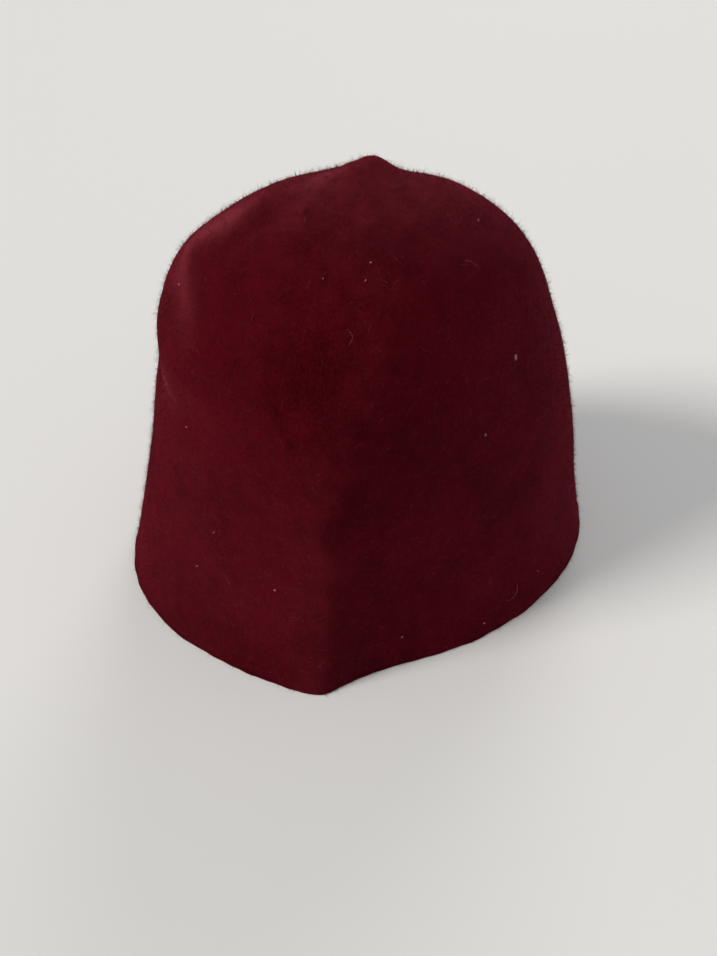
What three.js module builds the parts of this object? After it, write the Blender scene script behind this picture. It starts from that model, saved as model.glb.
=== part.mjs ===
import * as THREE from 'three';

// A soft fez: one seamless crown of thick wool felt, never stretched on a block and without a lining.
// It stands on its raw rim and keeps the folds of having been stored flat.
// Millimetres, +Z up. The rim lies on Z = 0, the longest way across the opening is along X, and the
// front fold faces -Y. The origin is on the resting plane, in the middle of the crown's outer box.

// Driving sizes, in millimetres
const RIM_WIDTH = 200; // across the opening, the long way
const RIM_DEPTH = 155; // across the opening, the short way, without the front and back folds
const DOME_HEIGHT = 151.5; // rim to dome, without the nub
const NUB_HEIGHT = 5.5; // the nub at the peak, above the dome
const NUB_RADIUS = 8; // where the nub has sunk to about a third
const FELT_THICKNESS = 2.6;
const FRONT_FOLD_STAND = 11; // how far the front fold stands out at the rim
const BACK_FOLD_STAND = 5; // how far the back fold stands out at the rim
const SOFT_FOLD_STAND = 2.8; // how far the sharpest soft fold stands out
const SOFT_FOLD_REACH = 8.4; // how far the widest soft fold reaches to each side
const DENT_DEPTH = 5.2; // the deepest dent

// Turns round the upright axis, in degrees: 0 is +X and -90 the front
const FOLD_ROUNDING_AT_RIM = 3; // half turn over which the two long folds are rounded, at the rim
const FOLD_ROUNDING_AT_PEAK = 11;
const FRONT_FOLD_LEFT_REACH = 22;
const BACK_FOLD_REACH = 16;

// Where the nub sits, as shares of half the rim's width and depth
const NUB_PLACE = { x: 0.02, y: -0.006 };

// Sections from the rim to the peak. up is a share of DOME_HEIGHT, right and left of half RIM_WIDTH,
// front and back of half RIM_DEPTH, and stand of the two long folds' stand. turn is where the front
// fold runs, and reach how far its right side spreads, both in degrees.
const SECTIONS = [
  { up: 0.0, right: 1.0, left: 1.0, front: 1.0, back: 1.0, turn: -115, stand: 1.0, reach: 7 },
  { up: 0.13, right: 0.95, left: 0.935, front: 0.94, back: 0.94, turn: -114, stand: 0.85, reach: 9 },
  { up: 0.37, right: 0.865, left: 0.825, front: 0.845, back: 0.85, turn: -114, stand: 0.72, reach: 12 },
  { up: 0.57, right: 0.77, left: 0.75, front: 0.765, back: 0.77, turn: -114, stand: 0.62, reach: 16 },
  { up: 0.695, right: 0.69, left: 0.729, front: 0.705, back: 0.7, turn: -108, stand: 0.5, reach: 22 },
  { up: 0.83, right: 0.585, left: 0.64, front: 0.6, back: 0.6, turn: -102, stand: 0.4, reach: 26 },
  { up: 0.91, right: 0.455, left: 0.5, front: 0.46, back: 0.46, turn: -101, stand: 0.3, reach: 30 },
  { up: 0.965, right: 0.3, left: 0.34, front: 0.3, back: 0.3, turn: -101, stand: 0.2, reach: 30 },
  { up: 0.993, right: 0.13, left: 0.16, front: 0.14, back: 0.14, turn: -101, stand: 0.1, reach: 30 },
  { up: 1.0, right: 0.0, left: 0.0, front: 0.0, back: 0.0, turn: -101, stand: 0.0, reach: 30 },
];

// Soft folds, each a line on the crown. way runs from 0 at the rim to 1 at the peak through the rows of
// SECTIONS, and stand is a share of SOFT_FOLD_STAND, below 0 for a valley. left_reach and right_reach
// are shares of SOFT_FOLD_REACH: the sides as seen from outside, going from the first row to the last.
const SOFT_FOLDS = {
  peak_ridge: {
    left_reach: 0.7,
    right_reach: 1.5,
    line: [
      { turn: -150, way: 0.985, stand: 0 },
      { turn: -169, way: 0.955, stand: 0.5 },
      { turn: -169, way: 0.925, stand: 0.8 },
      { turn: -164, way: 0.895, stand: 0.75 },
      { turn: -156, way: 0.86, stand: 0.6 },
      { turn: -151, way: 0.82, stand: 0.4 },
      { turn: -145, way: 0.775, stand: 0.2 },
      { turn: -141, way: 0.73, stand: 0 },
    ],
  },
  shoulder_ridge: {
    left_reach: 0.55,
    right_reach: 1.5,
    line: [
      { turn: -182, way: 0.815, stand: 0 },
      { turn: -180.5, way: 0.78, stand: 0.5 },
      { turn: -177.5, way: 0.74, stand: 0.85 },
      { turn: -178, way: 0.7, stand: 0.85 },
      { turn: -182, way: 0.655, stand: 0.85 },
      { turn: -181, way: 0.622, stand: 0.8 },
      { turn: -175.5, way: 0.597, stand: 0.75 },
      { turn: -168.5, way: 0.567, stand: 0.65 },
      { turn: -164, way: 0.53, stand: 0.5 },
      { turn: -161, way: 0.49, stand: 0.25 },
      { turn: -159, way: 0.455, stand: 0 },
    ],
  },
  pinch_valley: {
    left_reach: 0.9,
    right_reach: 0.9,
    line: [
      { turn: -148, way: 0.81, stand: 0 },
      { turn: -158, way: 0.797, stand: -0.6 },
      { turn: -165, way: 0.775, stand: -0.8 },
      { turn: -168, way: 0.735, stand: -0.6 },
      { turn: -170, way: 0.695, stand: -0.4 },
      { turn: -172, way: 0.655, stand: -0.3 },
      { turn: -169, way: 0.613, stand: -0.3 },
      { turn: -162, way: 0.575, stand: -0.25 },
      { turn: -157.5, way: 0.53, stand: 0 },
    ],
  },
  left_lower_fold: {
    left_reach: 0.5,
    right_reach: 1.0,
    line: [
      { turn: -182, way: 0.418, stand: 0 },
      { turn: -171, way: 0.402, stand: 0.7 },
      { turn: -164.5, way: 0.375, stand: 0.45 },
      { turn: -159, way: 0.335, stand: 0 },
    ],
  },
};

// Dents. width is a share of half RIM_WIDTH, height of DOME_HEIGHT, depth of DENT_DEPTH, and tilt turns
// the dent on the wall, in degrees.
const DENTS = {
  front_left_hollow: { turn: -151, way: 0.565, width: 0.32, height: 0.15, depth: 1.15, tilt: 25 },
  left_notch: { turn: -180, way: 0.403, width: 0.3, height: 0.045, depth: 0.55, tilt: -10 },
  peak_saddle: { turn: 35, way: 0.8, width: 0.12, height: 0.05, depth: 0.25, tilt: 0 },
};

// The mesh: corners round the crown, rows up the outside and up the inside
const AROUND = 96;
const OUTER_ROWS = 38;
const INNER_ROWS = 20;
const CROWDING = 0.4; // how much closer the corners stand round the folds than on average
const CROWDED_TURN = -135;
const LINE_STEPS = 5; // straight steps between two points of a soft fold
const TURN_STEP = 0.5; // steps for measuring how the surface faces
const WAY_STEP = 0.003;

/** One column of a table, read at a place between its rows, on a smooth line through them. */
function through(table, name, at) {
  const last = table.length - 1;
  const row = Math.min(Math.floor(at), last - 1);
  const t = at - row;
  const value = (index) => table[THREE.MathUtils.clamp(index, 0, last)][name];
  const [a, b, c, d] = [value(row - 1), value(row), value(row + 1), value(row + 2)];
  return b + 0.5 * t * (c - a + t * (2 * a - 5 * b + 4 * c - d + t * (3 * (b - c) + d - a)));
}

/** One column of SECTIONS at a way up the crown. */
function column(name, way) {
  return through(SECTIONS, name, THREE.MathUtils.clamp(way, 0, 1) * (SECTIONS.length - 1));
}

/** A rounded crest: 1 on its line, falling away over the reach. */
function crest(distance, rounding, reach) {
  return Math.exp(-(Math.hypot(distance, rounding) - rounding) / reach);
}

/** The smallest turn from one direction to another, in degrees. */
function turnBetween(from, to) {
  return THREE.MathUtils.euclideanModulo(to - from + 180, 360) - 180;
}

/** How far the front and back folds stand out at a turn and a way up. */
function longFolds(turn, way) {
  const foldTurn = column('turn', way);
  const rounding = THREE.MathUtils.lerp(FOLD_ROUNDING_AT_RIM, FOLD_ROUNDING_AT_PEAK, column('up', way));
  const fromFront = turnBetween(foldTurn, turn);
  const fromBack = turnBetween(foldTurn + 180, turn);
  const frontReach = fromFront < 0 ? FRONT_FOLD_LEFT_REACH : column('reach', way);
  const front = FRONT_FOLD_STAND * crest(fromFront, rounding, frontReach);
  const back = BACK_FOLD_STAND * crest(fromBack, rounding, BACK_FOLD_REACH);
  return column('stand', way) * (front + back);
}

/** The crown with its long folds and nub, before the soft folds and dents. */
function basePoint(turn, way) {
  const angle = THREE.MathUtils.degToRad(turn);
  const cos = Math.cos(angle);
  const sin = Math.sin(angle);
  const across = THREE.MathUtils.lerp(column('left', way), column('right', way), (1 + cos) / 2);
  const along = THREE.MathUtils.lerp(column('back', way), column('front', way), (1 - sin) / 2);
  const halfWidth = (across * RIM_WIDTH) / 2;
  const halfDepth = (along * RIM_DEPTH) / 2;
  const round = way < 1 ? 1 / Math.hypot(cos / halfWidth, sin / halfDepth) : 0;
  const radius = round + longFolds(turn, way);
  const point = new THREE.Vector3(radius * cos, radius * sin, column('up', way) * DOME_HEIGHT);
  const fromNub = Math.hypot(point.x - (NUB_PLACE.x * RIM_WIDTH) / 2, point.y - (NUB_PLACE.y * RIM_DEPTH) / 2);
  const onTop = THREE.MathUtils.smoothstep(way, 0.5, 0.7);
  point.z += NUB_HEIGHT * onTop * Math.exp(-((fromNub / NUB_RADIUS) ** 2));
  return point;
}

/** Directions at a point of the surface: round the crown, up it and out of it. */
function directions(surface, turn, way) {
  if (way >= 1) {
    return { round: new THREE.Vector3(1, 0, 0), up: new THREE.Vector3(0, 1, 0), out: new THREE.Vector3(0, 0, 1) };
  }
  const round = surface(turn + TURN_STEP, way).sub(surface(turn - TURN_STEP, way)).normalize();
  const higher = surface(turn, Math.min(way + WAY_STEP, 1));
  const out = round.clone().cross(higher.sub(surface(turn, Math.max(way - WAY_STEP, 0)))).normalize();
  return { round, up: out.clone().cross(round), out };
}

/** A soft fold's line as short straight steps on the crown, each with its stand at both ends. */
function foldSteps(line) {
  const points = Array.from({ length: (line.length - 1) * LINE_STEPS + 1 }, (_, index) => {
    const between = (name) => through(line, name, index / LINE_STEPS);
    const { out } = directions(basePoint, between('turn'), between('way'));
    return { at: basePoint(between('turn'), between('way')), out, stand: between('stand') };
  });
  return points.slice(1).map((to, index) => {
    const from = points[index];
    return { from, to, left: from.out.clone().cross(to.at.clone().sub(from.at)) };
  });
}

const FOLD_LINES = Object.values(SOFT_FOLDS).map((fold) => ({
  leftReach: fold.left_reach * SOFT_FOLD_REACH,
  rightReach: fold.right_reach * SOFT_FOLD_REACH,
  steps: foldSteps(fold.line),
}));

const DENT_PLACES = Object.values(DENTS).map((dent) => {
  const { round, up, out } = directions(basePoint, dent.turn, dent.way);
  const tilt = THREE.MathUtils.degToRad(dent.tilt);
  return {
    centre: basePoint(dent.turn, dent.way),
    across: round.clone().multiplyScalar(Math.cos(tilt)).addScaledVector(up, Math.sin(tilt)),
    upward: up.clone().multiplyScalar(Math.cos(tilt)).addScaledVector(round, -Math.sin(tilt)),
    out,
    halfWidth: (dent.width * RIM_WIDTH) / 2,
    halfHeight: dent.height * DOME_HEIGHT,
    depth: dent.depth * DENT_DEPTH,
  };
});

/** How far one soft fold lifts a point of the crown. */
function foldLift(point, { leftReach, rightReach, steps }) {
  const line = new THREE.Line3();
  const away = new THREE.Vector3();
  let nearest = Infinity;
  let stand = 0;
  let reach = leftReach;
  for (const { from, to, left } of steps) {
    line.set(from.at, to.at);
    const share = line.closestPointToPointParameter(point, true);
    away.subVectors(point, line.at(share, away));
    if (away.length() < nearest) {
      nearest = away.length();
      stand = THREE.MathUtils.lerp(from.stand, to.stand, share);
      reach = away.dot(left) > 0 ? leftReach : rightReach;
    }
  }
  return SOFT_FOLD_STAND * stand * crest(nearest, reach / 2, reach / 2);
}

/** How far one dent lifts a point of the crown, so always below 0. */
function dentLift(point, dent) {
  const away = point.clone().sub(dent.centre);
  const across = away.dot(dent.across) / dent.halfWidth;
  const upward = away.dot(dent.upward) / dent.halfHeight;
  const outward = away.dot(dent.out) / Math.max(dent.halfWidth, dent.halfHeight);
  return -dent.depth * Math.exp(-(across ** 2 + upward ** 2 + outward ** 2));
}

/** A point of the outer face. */
function outerPoint(turn, way) {
  const point = basePoint(turn, way);
  const folds = FOLD_LINES.reduce((sum, fold) => sum + foldLift(point, fold), 0);
  const dents = DENT_PLACES.reduce((sum, dent) => sum + dentLift(point, dent), 0);
  return point.addScaledVector(directions(basePoint, turn, way).out, folds + dents);
}

/** The point of the inner face behind it, one thickness of felt away. At the rim both lie on Z = 0. */
function innerPoint(turn, way) {
  const { out } = directions(outerPoint, turn, way);
  if (way === 0) {
    out.setZ(0).normalize();
  }
  return outerPoint(turn, way).addScaledVector(out, -FELT_THICKNESS);
}

/** Turns of the corners round the crown, closer together round the folds. */
function cornerTurns() {
  return Array.from({ length: AROUND }, (_, index) => {
    const even = (2 * Math.PI * index) / AROUND;
    const crowded = even - CROWDING * Math.sin(even);
    return CROWDED_TURN + THREE.MathUtils.radToDeg(crowded);
  });
}

/** Rings of one face from the rim up, ending in its single point at the peak. */
function faceRings(pointAt, rows, turns) {
  const rings = [];
  for (let row = 0; row < rows; row += 1) {
    rings.push(turns.map((turn) => pointAt(turn, row / rows)));
  }
  rings.push([pointAt(0, 1)]);
  return rings;
}

/** The closed crown: the outer face, the flat rim and the inner face. */
function crownGeometry() {
  const turns = cornerTurns();
  const outer = faceRings(outerPoint, OUTER_ROWS, turns);
  const inner = faceRings(innerPoint, INNER_ROWS, turns);
  outer[0].concat(inner[0]).forEach((point) => point.setZ(0));
  const rings = [...inner.reverse(), ...outer];
  const starts = [];
  const positions = [];
  for (const ring of rings) {
    starts.push(positions.length / 3);
    ring.forEach((point) => positions.push(point.x, point.y, point.z));
  }
  const faces = [];
  const corner = (ring, index) => starts[ring] + (rings[ring].length === 1 ? 0 : index % AROUND);
  for (let ring = 0; ring + 1 < rings.length; ring += 1) {
    for (let index = 0; index < AROUND; index += 1) {
      const [a, b] = [corner(ring, index), corner(ring, index + 1)];
      const [c, d] = [corner(ring + 1, index + 1), corner(ring + 1, index)];
      if (a !== b) {
        faces.push(a, b, d);
      }
      if (c !== d) {
        faces.push(b, c, d);
      }
    }
  }
  const geometry = new THREE.BufferGeometry();
  geometry.setAttribute('position', new THREE.Float32BufferAttribute(positions, 3));
  geometry.setIndex(faces);
  return geometry;
}

/** Moves the geometry so that the origin is in the middle of its box, on the resting plane. */
function centred(geometry) {
  geometry.computeBoundingBox();
  const middle = geometry.boundingBox.getCenter(new THREE.Vector3());
  geometry.translate(-middle.x, -middle.y, 0);
  geometry.computeVertexNormals();
  return geometry;
}

const feltCrown = new THREE.Mesh(
  centred(crownGeometry()),
  new THREE.MeshStandardMaterial({ color: 0x5c0d1b, roughness: 0.95, metalness: 0 }),
);
feltCrown.name = 'felt_crown';

const fez = new THREE.Group();
fez.add(feltCrown);

export default fez;
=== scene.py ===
"""A soft fez of thick crimson wool felt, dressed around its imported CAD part.

One seamless crown stands on its raw rim. It was never stretched on a block, so it keeps the folds of
having been stored flat. The felt is a fine closed shell with small lumps, a cut rim and a short nap of
wool fibres, and a few specks of lint lie on it. Everything is in metres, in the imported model's frame.
"""

import logging
import math
from dataclasses import dataclass, field
from enum import Enum

import bpy
import numpy as np
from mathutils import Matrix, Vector, noise


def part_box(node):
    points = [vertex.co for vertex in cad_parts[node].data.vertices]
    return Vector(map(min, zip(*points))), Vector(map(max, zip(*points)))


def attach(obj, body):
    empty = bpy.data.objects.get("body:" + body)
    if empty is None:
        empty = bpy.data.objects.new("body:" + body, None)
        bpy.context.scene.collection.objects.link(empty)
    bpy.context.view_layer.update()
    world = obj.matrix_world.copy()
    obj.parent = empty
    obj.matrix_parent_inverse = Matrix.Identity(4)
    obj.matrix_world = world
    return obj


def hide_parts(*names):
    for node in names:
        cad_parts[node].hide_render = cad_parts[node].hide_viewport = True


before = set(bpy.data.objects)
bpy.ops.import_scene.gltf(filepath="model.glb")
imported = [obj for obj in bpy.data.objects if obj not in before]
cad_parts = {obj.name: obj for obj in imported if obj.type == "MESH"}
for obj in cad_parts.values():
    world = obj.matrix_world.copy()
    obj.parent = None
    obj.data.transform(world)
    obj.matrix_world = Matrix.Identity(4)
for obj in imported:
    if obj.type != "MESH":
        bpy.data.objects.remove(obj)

LOG = logging.getLogger("fez")
CROWN_NODE = "felt_crown"
BODY = "root"

Colour = tuple[float, float, float]
Corner = tuple[float, float, float]
Range = tuple[float, float]
Faces = list[tuple[int, ...]]
Node = bpy.types.Node
Socket = bpy.types.NodeSocket


@dataclass(frozen=True)
class Section:
    """One row of the crown between the rim and the peak.

    up is a share of the dome's height, right and left of half the rim's width, front and back of half
    its depth, and stand of the two long folds' stand. turn is where the front fold runs, and reach how
    far its right side spreads, both in degrees.
    """

    up: float
    right: float
    left: float
    front: float
    back: float
    turn: float
    stand: float
    reach: float


@dataclass(frozen=True)
class Bend:
    """One point of a soft fold: its turn in degrees, its way up the crown and its share of the stand."""

    turn: float
    way: float
    stand: float


@dataclass(frozen=True)
class SoftFold:
    """A soft fold along a line of bends.

    left_reach and right_reach say how far it spreads on each side of its line, seen from outside and
    going from the first bend to the last, as shares of the crown's soft fold reach.
    """

    left_reach: float
    right_reach: float
    line: tuple[Bend, ...]


@dataclass(frozen=True)
class Dent:
    """A dent at a turn and a way up, with its size in shares of the crown's, tilted in degrees."""

    turn: float
    way: float
    width: float
    height: float
    depth: float
    tilt: float


SECTIONS = (
    Section(0.000, 1.012, 1.000, 1.010, 1.000, -115, 1.00, 7),
    Section(0.130, 0.950, 0.935, 0.940, 0.940, -114, 0.85, 9),
    Section(0.370, 0.865, 0.825, 0.845, 0.850, -114, 0.72, 12),
    Section(0.570, 0.770, 0.750, 0.765, 0.770, -114, 0.62, 16),
    Section(0.695, 0.690, 0.729, 0.705, 0.700, -108, 0.50, 22),
    Section(0.830, 0.585, 0.640, 0.600, 0.600, -102, 0.40, 26),
    Section(0.910, 0.455, 0.500, 0.460, 0.460, -101, 0.30, 30),
    Section(0.965, 0.300, 0.340, 0.300, 0.300, -101, 0.20, 30),
    Section(0.993, 0.130, 0.160, 0.140, 0.140, -101, 0.10, 30),
    Section(1.000, 0.000, 0.000, 0.000, 0.000, -101, 0.00, 30),
)

PEAK_RIDGE = SoftFold(
    0.6,
    1.5,
    (
        Bend(-150, 0.985, 0.0),
        Bend(-169, 0.955, 0.4),
        Bend(-169, 0.925, 0.8),
        Bend(-164, 0.895, 0.8),
        Bend(-156, 0.86, 0.6),
        Bend(-151, 0.82, 0.4),
        Bend(-145, 0.775, 0.2),
        Bend(-141, 0.73, 0.0),
    ),
)
SHOULDER_RIDGE = SoftFold(
    0.55,
    1.5,
    (
        Bend(-182, 0.815, 0.0),
        Bend(-180.5, 0.78, 0.5),
        Bend(-177.5, 0.74, 0.85),
        Bend(-178, 0.70, 0.85),
        Bend(-182, 0.655, 0.85),
        Bend(-181, 0.622, 0.8),
        Bend(-175.5, 0.597, 0.75),
        Bend(-168.5, 0.567, 0.65),
        Bend(-164, 0.53, 0.5),
        Bend(-161, 0.49, 0.25),
        Bend(-159, 0.455, 0.0),
    ),
)
PINCH_VALLEY = SoftFold(
    0.9,
    0.9,
    (
        Bend(-148, 0.81, 0.0),
        Bend(-158, 0.797, -0.6),
        Bend(-165, 0.775, -0.8),
        Bend(-168, 0.735, -0.6),
        Bend(-170, 0.695, -0.4),
        Bend(-172, 0.655, -0.3),
        Bend(-169, 0.613, -0.3),
        Bend(-162, 0.575, -0.25),
        Bend(-157.5, 0.53, 0.0),
    ),
)
LEFT_LOWER_FOLD = SoftFold(
    0.5,
    1.0,
    (
        Bend(-182, 0.418, 0.0),
        Bend(-171, 0.402, 0.7),
        Bend(-164.5, 0.375, 0.45),
        Bend(-159, 0.335, 0.0),
    ),
)
FRONT_LEFT_HOLLOW = Dent(-151, 0.565, 0.32, 0.15, 1.15, 25)
LEFT_NOTCH = Dent(-180, 0.403, 0.30, 0.045, 0.55, -10)
PEAK_SADDLE = Dent(35, 0.80, 0.12, 0.05, 0.25, 0)


def unit(vectors: np.ndarray) -> np.ndarray:
    """The vectors at length 1."""
    return vectors / np.maximum(np.linalg.norm(vectors, axis=-1, keepdims=True), 1e-12)


def turn_between(start: np.ndarray, end: np.ndarray) -> np.ndarray:
    """The smallest turn from one direction to another, in degrees."""
    return np.mod(end - start + 180.0, 360.0) - 180.0


def crest(distance: np.ndarray, rounding: np.ndarray, reach: np.ndarray) -> np.ndarray:
    """A rounded crest: 1 on its line, falling away over the reach."""
    return np.exp(-(np.hypot(distance, rounding) - rounding) / reach)


def smooth_step(value: np.ndarray, low: float, high: float) -> np.ndarray:
    """0 below low, 1 above high and smooth between them."""
    share = np.clip((value - low) / (high - low), 0.0, 1.0)
    return share * share * (3.0 - 2.0 * share)


def through(values: np.ndarray, at: np.ndarray) -> np.ndarray:
    """A smooth line through values, read at places between them.

    Args:
        values: One value for each whole place, first to last.
        at: The places to read, from 0 to the last.

    Returns:
        The line's value at each place.
    """
    last = len(values) - 1
    row = np.minimum(np.floor(at).astype(int), last - 1)
    t = at - row
    a, b, c, d = (values[np.clip(row + step, 0, last)] for step in (-1, 0, 1, 2))
    return b + 0.5 * t * (c - a + t * (2 * a - 5 * b + 4 * c - d + t * (3 * (b - c) + d - a)))


@dataclass(frozen=True)
class CrownForm:
    """The crown's outer face as a rule: a point for each turn round it and way up it."""

    rim_width: float = 0.200
    rim_depth: float = 0.155
    dome_height: float = 0.1515
    nub_height: float = 0.0062
    nub_radius: float = 0.0086
    nub_right: float = 0.027
    nub_back: float = -0.006
    front_fold_stand: float = 0.011
    back_fold_stand: float = 0.005
    soft_fold_stand: float = 0.0028
    soft_fold_reach: float = 0.0084
    dent_depth: float = 0.0052
    rounding_at_rim: float = 3.0
    rounding_at_peak: float = 11.0
    front_fold_left_reach: float = 22.0
    back_fold_reach: float = 16.0
    sections: tuple[Section, ...] = SECTIONS
    folds: tuple[SoftFold, ...] = (PEAK_RIDGE, SHOULDER_RIDGE, PINCH_VALLEY, LEFT_LOWER_FOLD)
    dents: tuple[Dent, ...] = (FRONT_LEFT_HOLLOW, LEFT_NOTCH, PEAK_SADDLE)
    line_steps: int = 6
    turn_step: float = 0.5
    way_step: float = 0.003
    peak_range: Range = (0.5, 0.7)
    fine_ways: int = 600

    def column(self, name: str, way: np.ndarray) -> np.ndarray:
        """One column of the sections, smooth through the rows."""
        values = np.array([getattr(section, name) for section in self.sections], float)
        return through(values, np.clip(way, 0.0, 1.0) * (len(values) - 1))

    def rounding(self, way: np.ndarray) -> np.ndarray:
        """The half turn over which the two long folds are rounded."""
        more = self.rounding_at_peak - self.rounding_at_rim
        return self.rounding_at_rim + more * self.column("up", way)

    def front_fold(self, turn: np.ndarray, way: np.ndarray) -> np.ndarray:
        """The front fold's crest, from 0 to 1."""
        away = turn_between(self.column("turn", way), turn)
        reach = np.where(away < 0, self.front_fold_left_reach, self.column("reach", way))
        return crest(away, self.rounding(way), reach)

    def back_fold(self, turn: np.ndarray, way: np.ndarray) -> np.ndarray:
        """The back fold's crest, from 0 to 1, half a turn from the front fold."""
        away = turn_between(self.column("turn", way) + 180.0, turn)
        return crest(away, self.rounding(way), self.back_fold_reach)

    def base(self, turn: np.ndarray, way: np.ndarray) -> np.ndarray:
        """Points of the crown with its long folds and nub, before soft folds and dents.

        Args:
            turn: Turns round the upright axis in degrees, 0 at +X and -90 at the front.
            way: Ways up the crown, from 0 at the rim to 1 at the peak.

        Returns:
            One point for each pair of turn and way.
        """
        turn = np.asarray(turn, float)
        way = np.asarray(way, float)
        cos = np.cos(np.radians(turn))
        sin = np.sin(np.radians(turn))
        right_share = (1 + cos) / 2
        front_share = (1 - sin) / 2
        across = self.column("left", way) * (1 - right_share) + self.column("right", way) * right_share
        along = self.column("back", way) * (1 - front_share) + self.column("front", way) * front_share
        half_width = np.maximum(across * self.rim_width / 2, 1e-9)
        half_depth = np.maximum(along * self.rim_depth / 2, 1e-9)
        oval = np.where(way < 1, 1 / np.hypot(cos / half_width, sin / half_depth), 0.0)
        stand = self.front_fold_stand * self.front_fold(turn, way)
        stand = stand + self.back_fold_stand * self.back_fold(turn, way)
        radius = oval + self.column("stand", way) * stand
        x, y = radius * cos, radius * sin
        from_nub = np.hypot(
            x - self.nub_right * self.rim_width / 2, y - self.nub_back * self.rim_depth / 2
        )
        near_peak = smooth_step(way, *self.peak_range)
        nub = self.nub_height * near_peak * np.exp(-((from_nub / self.nub_radius) ** 2))
        return np.stack([x, y, self.column("up", way) * self.dome_height + nub], -1)

    def directions(self, outer: bool, turn: np.ndarray, way: np.ndarray) -> tuple[np.ndarray, ...]:
        """Unit directions round the crown, up it and out of it.

        Args:
            outer: Whether the soft folds and dents count.
            turn: Turns in degrees.
            way: Ways up the crown.

        Returns:
            The directions round, up and out, one of each for each point.
        """
        surface = self.outer if outer else self.base
        around = unit(surface(turn + self.turn_step, way) - surface(turn - self.turn_step, way))
        higher = surface(turn, np.minimum(way + self.way_step, 1.0))
        lower = surface(turn, np.maximum(way - self.way_step, 0.0))
        out = unit(np.cross(around, higher - lower))
        out = np.where((np.asarray(way) >= 1)[..., None], np.array([0.0, 0.0, 1.0]), out)
        return around, np.cross(out, around), out

    def fold_share(self, points: np.ndarray, fold: SoftFold) -> np.ndarray:
        """How strongly one soft fold lifts each point.

        Args:
            points: Points of the base surface.
            fold: The soft fold.

        Returns:
            Shares of the soft fold stand, below 0 in a valley.
        """
        last = len(fold.line) - 1
        at = np.linspace(0.0, last, last * self.line_steps + 1)
        turns, ways, stands = (
            through(np.array([getattr(bend, name) for bend in fold.line], float), at)
            for name in ("turn", "way", "stand")
        )
        line = self.base(turns, ways)
        outs = self.directions(False, turns, ways)[2]
        nearest = np.full(points.shape[:-1], np.inf)
        share = np.zeros(points.shape[:-1])
        reach = np.full(points.shape[:-1], fold.left_reach)
        for index in range(len(line) - 1):
            step = line[index + 1] - line[index]
            along = np.clip((points - line[index]) @ step / max(float(step @ step), 1e-15), 0.0, 1.0)
            away = points - (line[index] + along[..., None] * step)
            distance = np.linalg.norm(away, axis=-1)
            closer = distance < nearest
            nearest = np.where(closer, distance, nearest)
            stand = stands[index] + along * (stands[index + 1] - stands[index])
            share = np.where(closer, stand, share)
            side = np.where(away @ np.cross(outs[index], step) > 0, fold.left_reach, fold.right_reach)
            reach = np.where(closer, side, reach)
        half_reach = reach * self.soft_fold_reach / 2
        return share * crest(nearest, half_reach, half_reach)

    def dent_share(self, points: np.ndarray, dent: Dent) -> np.ndarray:
        """How deep one dent is at each point, as a share of its own depth."""
        turn, way = np.array(float(dent.turn)), np.array(float(dent.way))
        around, up, out = self.directions(False, turn, way)
        tilt = math.radians(dent.tilt)
        across = around * math.cos(tilt) + up * math.sin(tilt)
        upward = up * math.cos(tilt) - around * math.sin(tilt)
        half_width = dent.width * self.rim_width / 2
        half_height = dent.height * self.dome_height
        away = points - self.base(turn, way)
        spread = (away @ across / half_width) ** 2 + (away @ upward / half_height) ** 2
        return np.exp(-spread - (away @ out / max(half_width, half_height)) ** 2)

    def outer(self, turn: np.ndarray, way: np.ndarray) -> np.ndarray:
        """Points of the finished outer face."""
        points = self.base(turn, way)
        folds = sum(self.fold_share(points, fold) for fold in self.folds)
        dents = sum(dent.depth * self.dent_share(points, dent) for dent in self.dents)
        lift = self.soft_fold_stand * folds - self.dent_depth * dents
        out = self.directions(False, np.asarray(turn, float), np.asarray(way, float))[2]
        return points + out * lift[..., None]

    def even_ways(self, rows: int) -> np.ndarray:
        """Ways up the crown at even steps of felt.

        Args:
            rows: How many rows lie between the rim and the peak.

        Returns:
            rows + 1 ways, from 0 to 1.
        """
        fine = np.linspace(0.0, 1.0, self.fine_ways)
        steps = np.zeros(len(fine) - 1)
        for turn in (0.0, 90.0, 180.0, 270.0):
            line = self.base(np.full(fine.shape, turn), fine)
            steps += np.linalg.norm(np.diff(line, axis=0), axis=1)
        gone = np.concatenate([[0.0], np.cumsum(steps)])
        return np.interp(np.linspace(0.0, gone[-1], rows + 1), gone, fine)


def lumps(points: np.ndarray, size: float, seed: float) -> np.ndarray:
    """Soft lumps of a size in space, from about -1 to 1.

    Args:
        points: Where to read them.
        size: How far apart the lumps are, in metres.
        seed: A shift that gives other lumps.

    Returns:
        One value for each point.
    """
    shift = Vector((seed, -seed, 0.5 * seed))
    flat = points.reshape(-1, 3) / size
    values = [noise.noise(Vector(corner) + shift) for corner in flat.tolist()]
    return np.array(values).reshape(points.shape[:-1])


def new_mesh(name: str, corners: np.ndarray, faces: Faces, smooth: bool = True) -> bpy.types.Object:
    """Makes a mesh object at the origin.

    Args:
        name: The piece's name.
        corners: Its corners in metres.
        faces: Its faces, each a row of corner numbers, outwards.
        smooth: Whether the faces are shaded smooth.

    Returns:
        The object, linked to the scene.
    """
    mesh = bpy.data.meshes.new(name)
    mesh.from_pydata(corners.tolist(), [], faces)
    mesh.update()
    mesh.validate()
    mesh.polygons.foreach_set("use_smooth", [smooth] * len(mesh.polygons))
    piece = bpy.data.objects.new(name, mesh)
    bpy.context.scene.collection.objects.link(piece)
    return piece


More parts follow.
